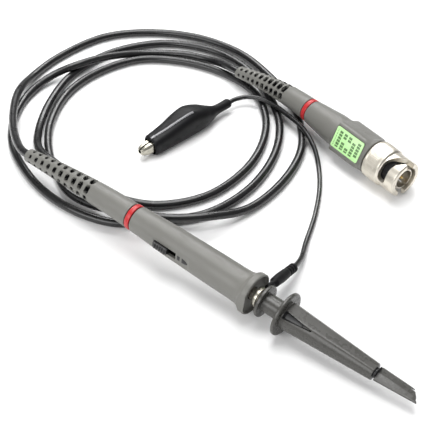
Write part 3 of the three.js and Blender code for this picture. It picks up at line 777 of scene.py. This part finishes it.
def sleeve_shape(s, r, angle):
    """Flat top and bottom, thin blade, tapering window and the mould's parting line."""
    if r < 2.0 and s < 66 or s < 34.55:
        return r
    if s > BLADE["start"]:
        return blade_radius(s, angle) if r > 0.9 else r
    up = abs(math.sin(angle))
    height = FLAT["height"] - FLAT["fall"] * (s - FLAT["start"])
    if r > 1.4 and up > 0.05:
        r = soft_min(r, height / up, 0.09)
    if SEAM["start"] < s < SEAM["end"] and r > 2.7:
        across = off_angle(angle, SEAM["angle"]) * r
        r += SEAM["height"] * math.exp(-((across / SEAM["half"]) ** 2))
    if WINDOW["start"] - 0.3 < s < WINDOW["end"] and r > 3.9:
        share = (WINDOW["end"] - s) / (WINDOW["end"] - WINDOW["start"])
        half = max(0.05, WINDOW["half"] * share)
        across = abs(off_angle(angle, WINDOW["angle"])) * r
        inside = blend_down(across, half, half + 0.22)
        r -= WINDOW["depth"] * inside * blend_down(s, WINDOW["start"] + 0.2, WINDOW["start"] - 0.2)
    return r


def blade_radius(s, angle):
    """Section of the thin blade: a low roof over an edge that narrows towards the tip."""
    share = (s - BLADE["start"]) / (BLADE["end"] - BLADE["start"])
    side = math.cos(angle)  # towards -Y
    up = abs(math.sin(angle))
    tip = BLADE["near_tip"] if side > 0 else BLADE["far_tip"]
    half = between(BLADE["half"], tip, share)
    height = between(BLADE["height"], BLADE["tip_height"], share)
    roof = BLADE["roof"] * (1 - 0.6 * share)
    edge = half * math.sin(roof) + 0.35 * math.cos(roof)
    r = edge / (up * math.cos(roof) + abs(side) * math.sin(roof))
    r = soft_min(r, half / max(abs(side), 0.02), 0.04)
    return soft_min(r, height / max(up, 0.02), 0.04)


def slanted_end(point):
    """Moves the blade's sections so that its end slants back from the near side to the far."""
    first = 72
    share = min(1, max(0, (point.x - first) / (BLADE["end"] - first)))
    return point - Vector((BLADE["slant"] * share**2 * (point.y + BLADE["near_tip"]), 0, 0))


def make_hook_sleeve():
    outline = [
        (33, 3.5), (33, 7), (33.3, FLANGE_R), (34.1, FLANGE_R), (CONE["start"], 7),
        (CONE["start"], CONE["start_r"]), (CONE["end"], CONE["end_r"]), (CONE["end"], 1.7),
        (67.3, 1.7), (BLADE["start"], 2.6), (BLADE["end"], 1.6), (BLADE["end"], 0.45), (58, 0.45),
        (58, 2.4), (48.3, 2.4), (48.3, 2.9), (41.3, 2.9), (41.3, 3.5),
    ]
    skinned = turned(dense(fillet(outline, 0.22), 0.35), 180, sleeve_shape, slanted_end)
    obj = to_object("hook_cap", skinned, PROBE)
    carve(obj, block(4.6, 3.4, 0.8, (79.8, 0.6, 0)))
    dress(obj, "sleeve", CAP_GREY, "cap_plastic", "hook_sleeve")
    # Black on the window's sunk faces and in the groove before the blade is painted shade.
    obj.data.materials.append(BLACK)
    for face in obj.data.polygons:
        x, y, z = face.center / MM
        r = math.hypot(y, z)
        share = (x - CONE["start"]) / (CONE["end"] - CONE["start"])
        outside = between(CONE["start_r"], CONE["end_r"], share)
        sunk = 3.2 < r < outside - 0.35
        window_painted_shade = sunk and abs(math.atan2(z, -y) - WINDOW["angle"]) < 0.4 and 34.6 < x < 44.4
        groove_painted_shade = 66.4 < x < BLADE["start"] and r < 2.3
        face.material_index = int(window_painted_shade or groove_painted_shade)
    return obj


def make_hook_spring():
    """Coil spring of five turns; the real one shortens by the sleeve's travel when the hook comes
    out, this one keeps its length.
    """
    start, end, turns, coil_r, wire_r = 45.6, 57.7, 5, 1.75, 0.25
    steps = turns * 32
    line = []
    for k in range(steps + 1):
        s = between(start + wire_r, end - wire_r, k / steps)
        line.append(around(s, coil_r, 2 * math.pi * turns * k / steps))
    obj = to_object("coil_spring", hose(line, wire_r, 12), PROBE, 60)
    dress(obj, "probe", STEEL, "steel", "hook_spring")
    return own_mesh(obj)


def make_probe_head():
    ring_start = HANDLE_REAR - GAP - RING_WIDTH
    make_handle()
    make_switch_button()
    make_switch_marks()
    make_hook_base()
    make_hook_sleeve()
    make_hook_spring()
    marker_ring("probe_ring", PROBE, ring_start, "probe_marker_ring")
    slots = growing_slots(-78.4, -48.2, 10, (0.55, 0.85), (0.95, 1.75))
    strain_relief("probe_relief", PROBE, ring_start - GAP, PROBE_BEND, 4.15, slots, 44,
                  "probe_strain_relief")


# ---- ground lead boot and clip ----

def make_ground_collar():
    """Spring collar round the nose; its lug is inside the boot's neck."""
    outline = [(22.6, 2.2), (22.6, 3.4), (24.1, 3.4), (24.1, 2.2)]
    obj = to_object("lead_collar", turned(fillet(outline, 0.2), 64), PROBE)
    # The collar's darker nickel is painted shade.
    return dress(obj, "probe", NICKEL_PAINTED_SHADE, "nickel", "ground_collar")


def make_ground_boot():
    grooves = []
    for s in (9.2, 10.6, 12):
        grooves += [(s, 1.65), (s, 1.3), (s + 0.6, 1.3), (s + 0.6, 1.65)]
    outline = [
        (-2.9, 0), (-2.9, 1.0), (0.4, 1.0), (1.4, 1.7), (5, 1.85), (8.4, 1.75), *grooves,
        (13.6, 1.6), (13.6, LEAD_R + GAP), (5, LEAD_R + GAP), (5, 0),
    ]
    obj = to_object("lead_boot", turned(dense(fillet(outline, 0.15), 0.6), 48), GROUND_BOOT)
    return dress(obj, "probe", RUBBER, "black_rubber", "ground_lead_boot")


# Sections of the clip's boot: station, middle Y, middle Z, half width, half height, squareness.
BOOT_SECTIONS = [
    (0, 0, 0, 1.9, 1.9, 2), (7, 0, 0, 2, 2, 2), (10.5, -0.1, 0.3, 3.3, 3.1, 2.1),
    (15, -0.4, 1, 4.6, 4.6, 2.6), (20, -0.8, 1.5, 5, 5.2, 3.2), (25, -0.7, 1.2, 4.9, 4.9, 3.2),
    (32, -0.3, 0.5, 4.3, 4.1, 3), (40, 0, 0, 3.7, 3.4, 3.2),
]
BOOT_LENGTH = BOOT_SECTIONS[-1][0]
BOOT_SIDES = 240
BOOT_WALL = 0.55
RIDGE_SLOPE = -0.085  # how far the parting ridge strays sideways, per length back from the mouth
RIDGE_END = 20
RIDGE_HEIGHT = 0.35
RIDGE_HALF = 0.45


def boot_section_at(x):
    """The section at x, eased between the listed ones."""
    rows = BOOT_SECTIONS
    i = next((k for k in range(len(rows) - 2) if x <= rows[k + 1][0]), len(rows) - 2)
    first, second = rows[i], rows[i + 1]
    before, after = rows[max(i - 1, 0)], rows[min(i + 2, len(rows) - 1)]
    span = second[0] - first[0]
    t = (x - first[0]) / span
    values = []
    for a, b, c, d in zip(before[1:], first[1:], second[1:], after[1:]):
        leave = (c - a) / max(second[0] - before[0], 1e-6) * span
        reach = (d - b) / max(after[0] - first[0], 1e-6) * span
        values.append(hermite(b, leave, c, reach, t))
    return values


def off_ridge(x, y):
    return y - RIDGE_SLOPE * (x - BOOT_LENGTH)


def boot_ring(x, inset):
    """One ring of the boot; the outer skin carries the parting ridge along its top."""
    mid_y, mid_z, half_y, half_z, power = boot_section_at(x)
    if inset and x < 10:
        mid_y = mid_z = 0
        half_y = half_z = LEAD_R + GAP
        power = 2
    elif inset:
        half_y -= inset
        half_z -= inset
    ring = []
    for k in range(BOOT_SIDES):
        angle = 2 * math.pi * k / BOOT_SIDES
        c, s = math.cos(angle), math.sin(angle)
        y = half_y * math.copysign(abs(c) ** (2 / power), c)
        z = half_z * math.copysign(abs(s) ** (2 / power), s)
        if not inset and s > 0:
            height = RIDGE_HEIGHT * blend_down(x, RIDGE_END + 1, RIDGE_END - 2)
            z += height * math.exp(-((off_ridge(x, mid_y + y) / RIDGE_HALF) ** 2))
        ring.append(Vector((x, mid_y + y, mid_z + z)))
    return ring


def make_clip_boot():
    """Soft boot that tapers from the lead to the clip's mouth."""
    steps = 100
    stations = [BOOT_LENGTH * i / steps for i in range(steps + 1)]
    outside = [boot_ring(x, 0) for x in stations]
    inside = [boot_ring(x, BOOT_WALL) for x in reversed(stations)]
    for i, pull in enumerate([0.12, 0.04]):
        for ring in (outside[i], outside[-1 - i]):
            middle = sum(ring, Vector()) / len(ring)
            for p in ring:
                p.yz = p.yz + (middle.yz - p.yz) * pull
    obj = to_object("clip_cover", skin([*outside, *inside]), CLIP, 40)
    obj.data.materials.append(RUBBER)
    obj.data.materials.append(RIDGE_GLOSS_AND_PAINTED_HIGHLIGHT)
    # Faces along the ridge's front part get the glossy rubber whose light grey colour is a painted
    # highlight.
    for face in obj.data.polygons:
        spot = face.center / MM
        on_ridge = abs(off_ridge(spot.x, spot.y)) < 0.5 and spot.z > 1
        face.material_index = int(on_ridge and RIDGE_END < spot.x < BOOT_LENGTH - 0.4)
    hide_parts("clip_boot")
    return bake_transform(obj)


# Half of the clip: station, outer half width, half height at the fixed and at the moving jaw.
JAW_SECTIONS = [
    (19, 2.4, 2.3, 1.7), (23, 2.7, 2.3, 1.7), (28, 2.6, 2.3, 1.75), (34, 2.5, 2.3, 1.9),
    (39, 2.4, 2.3, 2.1), (42.5, 2.1, 1.95, 1.9), (44.2, 1.7, 1.5, 1.5), (45, 1.1, 1, 1),
]
SHEET = 0.4
PIN_HOLE_R = 0.85


def make_jaw(name, side, body, node):
    """A channel of sheet metal, open towards the other jaw and drilled for the pin.

    side is 1 for the fixed jaw and -1 for the moving one."""
    rings = []
    for s, wide, fixed_high, moving_high in JAW_SECTIONS:
        high = fixed_high if side > 0 else moving_high
        outer = [(0.3, high), (0.72 * wide, high), (wide, 0.62 * high)]
        outer += [(y, -z) for y, z in reversed(outer)]
        low = SHEET - high
        inner = [(0.3, low), (0.72 * wide - 0.2, low), (wide - SHEET, -0.5 * high)]
        inner += [(y, -z) for y, z in reversed(inner)]
        rings.append([Vector((s, side * y, z)) for y, z in [*outer, *inner]])
    obj = to_object(name, skin(rings, closed=False), CLIP)
    upright = Matrix.Translation((CLIP_PIVOT, 0, 0)) @ Matrix.Rotation(math.pi / 2, 4, "Y")
    carve(obj, moved(turned([(-4, 0), (-4, PIN_HOLE_R), (4, PIN_HOLE_R), (4, 0)], 32), upright))
    round_edges(obj, 0.12, 30)
    # The jaws' darker nickel is painted shade.
    return dress(obj, body, NICKEL_PAINTED_SHADE, "nickel", node)


# ---- compensation box and plug ----

BOX = {"rear": -32, "front": -16.5, "half_wide": 6.2, "half_high": 6.0, "roll": math.radians(25)}
BOX_POWER = 8.6  # squareness of its section
TRIMMER_S = -24
TRIMMER_HOLE_R = 1.8


def box_radius(angle):
    turn = angle - BOX["roll"]
    c = abs(math.cos(turn)) / BOX["half_wide"]
    s = abs(math.sin(turn)) / BOX["half_high"]
    return (c**BOX_POWER + s**BOX_POWER) ** (-1 / BOX_POWER)


def housing_shape(s, r, angle):
    """Squares the round profile over the box's length and sinks the label's recess."""
    if r < 5.4:
        return r
    rear = blend_down(s, BOX["rear"] + 0.55, BOX["rear"] - 0.45)
    front = 1 - blend_down(s, BOX["front"] + 0.9, BOX["front"] - 2.2)
    share = min(rear, front)
    squared = between(r, box_radius(angle), share)
    turn = angle - BOX["roll"]
    across = squared * math.sin(turn)
    if math.cos(turn) > 0 and abs(s - LABEL.s) < LABEL.long and abs(across) < LABEL.wide:
        u = abs(s - LABEL.s) - LABEL.long / 2
        v = abs(across - LABEL.z) - LABEL.wide / 2
        sunk = blend_down(max(u, v), 0.12, 0.32)
        floor = (LABEL.face - 0.4) / max(0.5, math.cos(turn))
        squared = between(squared, min(squared, floor), sunk)
    return squared


def make_box():
    outline = [
        (-52.9, CABLE_R + GAP), (-52.9, SPIGOT_R), (-48.8, SPIGOT_R), (-48.8, 4.7), (-36, 6.05),
        (-20.2, 6.05), (-17.6, 7.0), (-15.9, 7.0), (-15.6, 6.7), (-15.6, 5.0), (-34, 5.0),
        (-44.5, 4.0), (-46, CABLE_R + GAP),
    ]
    skinned = turned(dense(fillet(outline, 0.35), 0.3), 200, housing_shape)
    obj = to_object("box_housing", skinned, BNC)
    hole = turned([(3, 0), (3, TRIMMER_HOLE_R), (8, TRIMMER_HOLE_R), (8, 0)], 40)
    sideways = (
        Matrix.Rotation(-BOX["roll"], 4, "X")
        @ Matrix.Translation((TRIMMER_S, 0, 0))
        @ Matrix.Rotation(math.pi / 2, 4, "Z")
    )
    carve(obj, moved(hole, sideways))
    return dress(obj, "probe", GREY, "grey_plastic", "compensation_box")


def make_label():
    """Film with rounded corners, lying in its recess. Its frame is the box's, rolled upright."""
    where = BNC @ Matrix.Rotation(-BOX["roll"], 4, "X")
    corner = 0.7
    corners = []
    for cx, cz, start in ((1, 1, 0), (-1, 1, 90), (-1, -1, 180), (1, -1, 270)):
        for k in range(7):
            a = math.radians(start + 15 * k)
            x = cx * (LABEL.long / 2 - corner) + corner * math.cos(a)
            z = cz * (LABEL.wide / 2 - corner) + corner * math.sin(a)
            corners.append((LABEL.s + x, LABEL.z + z))
    rings = [[Vector((x, -LABEL.face + y, z)) for x, z in corners] for y in (0.25, 0.0)]
    obj = to_object("label_film", skin(rings, closed=False), where)
    round_edges(obj, 0.05)
    return dress(obj, "probe", PAPER, "label", "label_plate")


NUT = {"r": 7.25, "sleeve_r": 6.7, "length": 15.2}
KNURL = {"rear": -14.4, "front": -8.9, "fade": 0.4, "depth": 0.09, "count": 72}
# A bayonet slot: half its width, its first and last station and the angles it starts and turns by.
BAYONET = {"half": 1.7, "first": -2.0, "last": -5.7, "start": math.radians(-14),
           "turn": math.radians(100), "steepness": 1.6}


def nut_shape(s, r, angle):
    """Straight knurling round the grip."""
    rear, front, fade = KNURL["rear"], KNURL["front"], KNURL["fade"]
    if r < NUT["r"] - 0.15 or not rear < s < front:
        return r
    ends = blend_down(s, rear + fade, rear) * (1 - blend_down(s, front, front - fade))
    return r - KNURL["depth"] * ends * (0.5 - 0.5 * math.cos(KNURL["count"] * angle))


def bayonet_slot(start):
    """The cutters of one slot: a straight way in from the front and a slope round the sleeve."""
    half, first, last = BAYONET["half"], BAYONET["first"], BAYONET["last"]
    sleeve_r = NUT["sleeve_r"]
    reach = BAYONET["turn"]
    steps = 24
    quarters = BAYONET["steepness"] * math.pi / 2
    rings = []
    for k in range(steps + 1):
        share = k / steps
        run = min(math.pi / 2, quarters * share)
        s = between(first, last, math.sin(run))
        fall = math.atan2((first - last) * quarters * math.cos(run), sleeve_r * reach)
        turn = start + reach * share
        ring = []
        for r, sign in ((4.0, -1), (4.0, 1), (8.2, 1), (8.2, -1)):
            a = turn + sign * half * math.sin(fall) / sleeve_r
            along = s + sign * half * math.cos(fall)
            ring.append(Vector((along, -r * math.sin(a), r * math.cos(a))))
        rings.append(ring)
    entry = block(1 - first, 2 * half, 4.2, ((1 + first) / 2, 0, 6.1), start)
    ends = []
    for s, turn in ((first, start), (last, start + reach)):
        outwards = (
            Matrix.Rotation(turn, 4, "X")
            @ Matrix.Translation((s, 0, 0))
            @ Matrix.Rotation(-math.pi / 2, 4, "Y")
        )
        round_end = turned([(3.9, 0), (3.9, half), (8.3, half), (8.3, 0)], 24)
        ends.append(moved(round_end, outwards))
    return [entry, skin(rings, closed=False), *ends]


def make_nut():
    """Grip, sleeve and bore. The stations at -14.5 to -8.8 put rings at the knurl's two ends."""
    r, sleeve_r = NUT["r"], NUT["sleeve_r"]
    outline = [
        (-NUT["length"], 5.0), (-NUT["length"], r - 0.45), (-NUT["length"] + 0.45, r), (-14.5, r),
        (-14.3, r), (-9.0, r), (-8.8, r), (-8.2, r), (-7.6, sleeve_r), (-0.4, sleeve_r),
        (0, sleeve_r - 0.4), (0, 4.95), (-11, 4.95), (-11, 4.5), (-12, 4.5), (-12, 5.0),
    ]
    obj = to_object("nut_shell", turned(dense(fillet(outline, 0.15), 0.35), 240, nut_shape), BNC)
    start = BAYONET["start"]
    carve(obj, *bayonet_slot(start), *bayonet_slot(start + math.pi))
    return dress(obj, "nut", SATIN_NICKEL, "nickel", "coupling_nut")


BNC_RING_S = -50.9


def make_connector():
    marker_ring("bnc_ring", BNC, BNC_RING_S, "bnc_marker_ring")
    slots = growing_slots(-86.2, -63.2, 10, (0.5, 0.68), (0.95, 1.9))
    strain_relief("bnc_relief", BNC, BNC_RING_S - GAP, BNC_BEND, 3.9, slots, 67,
                  "bnc_strain_relief")
    make_box()
    make_label()
    make_nut()


make_probe_head()
make_ground_collar()
make_ground_boot()
make_clip_boot()
make_jaw("fixed_jaw", 1, "probe", "clip_fixed_jaw")
make_jaw("moving_jaw", -1, "jaw", "clip_moving_jaw")
make_connector()


# ---- CAD nodes that keep their shape ----

KEPT = {
    "nickel": (NICKEL, ["probe_cable_ferrule", "nose_barrel", "clip_ferrule", "bnc_cable_ferrule",
                        "plug_body"]),
    "gold": (GOLD, ["switch_contact", "tip_pin", "hook_socket", "trimmer_screw",
                    "plug_centre_pin"]),
    "steel": (STEEL, ["hook_wire", "clip_pivot_pin", "clip_spring", "nut_spring_washer"]),
    "ptfe": (PTFE, ["nose_insulator", "trimmer_capacitor", "plug_insulator"]),
    "board": (BOARD, ["probe_board", "compensation_board"]),
    "ceramic": (CERAMIC, ["input_resistor", "input_capacitor", "termination_resistor"]),
    "black_plastic": (BLACK, ["nose_bush"]),
    "black_rubber": (RUBBER, ["plug_gasket"]),
}


def finish_kept_nodes():
    for slot, (finish, names) in KEPT.items():
        for name in names:
            obj = frame["nodes"][name]
            obj.data.materials.clear()
            obj.data.materials.append(finish)
            obj.data.polygons.foreach_set("use_smooth", [True] * len(obj.data.polygons))
            obj.modifiers.new("weld", "WELD").merge_threshold = 1e-6
            split = obj.modifiers.new("split", "EDGE_SPLIT")
            split.split_angle = math.radians(34)


finish_kept_nodes()


# ---- floor, light and world ----

def make_floor():
    half = 1.5
    mesh = bpy.data.meshes.new("floor")
    mesh.from_pydata([(-half, -half, 0), (half, -half, 0), (half, half, 0), (-half, half, 0)], [],
                     [(0, 1, 2, 3)])
    floor = bpy.data.objects.new("floor", mesh)
    bpy.context.scene.collection.objects.link(floor)
    paper = Finish("floor_paper", Roughness=0.9, Specular_IOR_Level=0.1)
    shades = paper.noise(6, detail=2)
    paper.link("Base Color", paper.mix(shades, (0.93, 0.93, 0.93, 1), (0.95, 0.95, 0.95, 1)))
    mesh.materials.append(paper.material)


def area_light(name, at, target, size, power):
    data = bpy.data.lights.new(name, "AREA")
    data.shape = "RECTANGLE"
    data.size, data.size_y = size
    data.energy = power
    lamp = bpy.data.objects.new(name, data)
    bpy.context.scene.collection.objects.link(lamp)
    lamp.location = at
    lamp.rotation_euler = (Vector(target) - Vector(at)).to_track_quat("-Z", "Y").to_euler()


def make_world():
    """A white room, brighter overhead than at the horizon."""
    world = bpy.data.worlds.new("world")
    bpy.context.scene.world = world
    world.use_nodes = True
    nodes, links = world.node_tree.nodes, world.node_tree.links
    place = nodes.new("ShaderNodeTexCoord").outputs["Generated"]
    split = nodes.new("ShaderNodeSeparateXYZ")
    links.new(place, split.inputs["Vector"])
    ramp = nodes.new("ShaderNodeValToRGB")
    low, high = ramp.color_ramp.elements
    low.position, low.color = 0.0, (0.5, 0.5, 0.51, 1)
    high.position, high.color = 0.9, (1, 1, 1, 1)
    links.new(split.outputs["Z"], ramp.inputs["Fac"])
    links.new(ramp.outputs["Color"], nodes["Background"].inputs["Color"])
    nodes["Background"].inputs["Strength"].default_value = 0.42


make_floor()
make_world()
centre = (-0.03, 0.04, 0)
area_light("overhead", (-0.14, 0.14, 0.75), centre, (0.42, 0.42), 3.9)
area_light("back", (-0.38, 0.46, 0.5), centre, (0.6, 0.16), 3.2)
area_light("front", (-0.1, -0.6, 0.4), centre, (0.7, 0.4), 3.4)
bpy.context.scene.view_settings.view_transform = "Standard"
